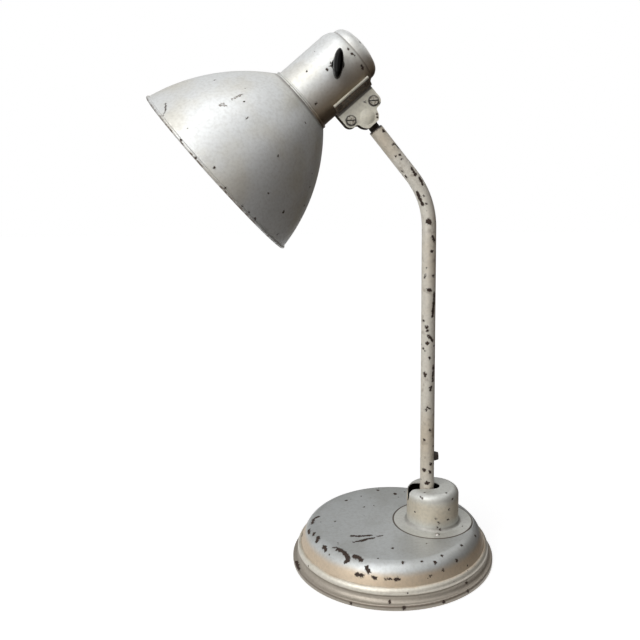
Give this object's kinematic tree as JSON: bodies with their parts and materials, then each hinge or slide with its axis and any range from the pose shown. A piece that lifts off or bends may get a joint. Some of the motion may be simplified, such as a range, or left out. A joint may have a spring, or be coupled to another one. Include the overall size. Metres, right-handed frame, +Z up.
{
  "type": "desk lamp",
  "caption": "Metal desk lamp with a stepped round base, a swivelling slotted hood, a bent stem, a clamped ball joint and a bell shade with a turn switch on its neck",
  "frame": {"origin": "The middle of the felt's underside, on the table.", "axes": "+Z is up, -X is where the shade points, +X is the side of the turret and the cord inlet, and -Y is the front with the knob and the screw heads."},
  "size_m": [0.2915, 0.18, 0.4631],
  "materials": {
    "silver_lacquer": "worn silver lacquer",
    "cream_lacquer": "worn cream lacquer with dark chips",
    "grey_lacquer": "worn silver-grey lacquer",
    "hood_lacquer": "worn warm grey lacquer",
    "steel": "dull steel",
    "iron": "cast",
    "felt": "felt",
    "brass": "dull",
    "bulb_metal": "drawn",
    "bulb_glass": "frosted",
    "black_moulding": "glossy thermoset",
    "brown_moulding": "moulded thermoset",
    "dark_bush": "moulded"
  },
  "bodies": {
    "base": {"base_shell": "grey_lacquer", "felt_pad": "felt", "base_plate": "steel", "ballast_weight": "iron", "ballast_bolt": "steel", "ballast_washer": "steel", "ballast_nut": "steel", "swivel_bush": "brass"},
    "turret": {"hood": "hood_lacquer", "turret_plate": "steel", "stop_pin": "steel", "hood_rivet": "steel", "swivel_bolt": "steel", "swivel_washer": "steel", "swivel_nut": "steel", "hinge_fork": "steel", "hinge_pin": "steel", "hinge_nut": "steel", "friction_washers": "brown_moulding"},
    "stem": {"stem_tube": "cream_lacquer", "stem_foot": "steel", "foot_pin": "steel", "cord_inlet_bush": "dark_bush"},
    "ball": {"ball_stud": "steel"},
    "head": {"clamp_plate_front": "cream_lacquer", "clamp_plate_back": "cream_lacquer", "clamp_screws": "steel", "clamp_nuts": "steel", "wing_rivets": "steel", "neck_housing": "silver_lacquer", "rear_cap": "silver_lacquer", "collar_ring": "cream_lacquer", "shade": "silver_lacquer", "lampholder_body": "brown_moulding", "holder_ring": "brown_moulding", "screw_shell": "brass", "centre_contact": "brass", "holder_bridge": "steel", "holder_nipple": "steel", "nipple_nut": "steel", "bulb_glass": "bulb_glass", "bulb_cap": "bulb_metal", "bulb_tip": "brass", "switch_body": "brown_moulding", "switch_bush": "brass", "switch_nut": "brass"},
    "knob": {"switch_spindle": "brass", "switch_knob": "black_moulding"}
  },
  "joints": [
    {"name": "base_swivel", "type": "hinge", "parent": "base", "child": "turret", "pos_m": [0.0366, 0, 0.0308], "axis": [0, 0, 1], "range_deg": [-90, 90]},
    {"name": "stem_tilt", "type": "hinge", "parent": "turret", "child": "stem", "pos_m": [0.0313, 0, 0.046], "axis": [0, -1, 0], "range_deg": [-13, 50]},
    {"name": "head_twist", "type": "hinge", "parent": "stem", "child": "ball", "pos_m": [-0.02268, 0, 0.3914], "axis": [-0.6212, 0, 0.7837], "range_deg": [-90, 90]},
    {"name": "head_tilt", "type": "hinge", "parent": "ball", "child": "head", "pos_m": [-0.02268, 0, 0.3914], "axis": [-0.0465, 0.9982, -0.0368], "range_deg": [-45, 50]},
    {"name": "switch_turn", "type": "hinge", "parent": "head", "child": "knob", "pos_m": [-0.0485, 0.00022, 0.43], "axis": [0.0465, -0.9982, 0.0368], "continuous": true}
  ]
}
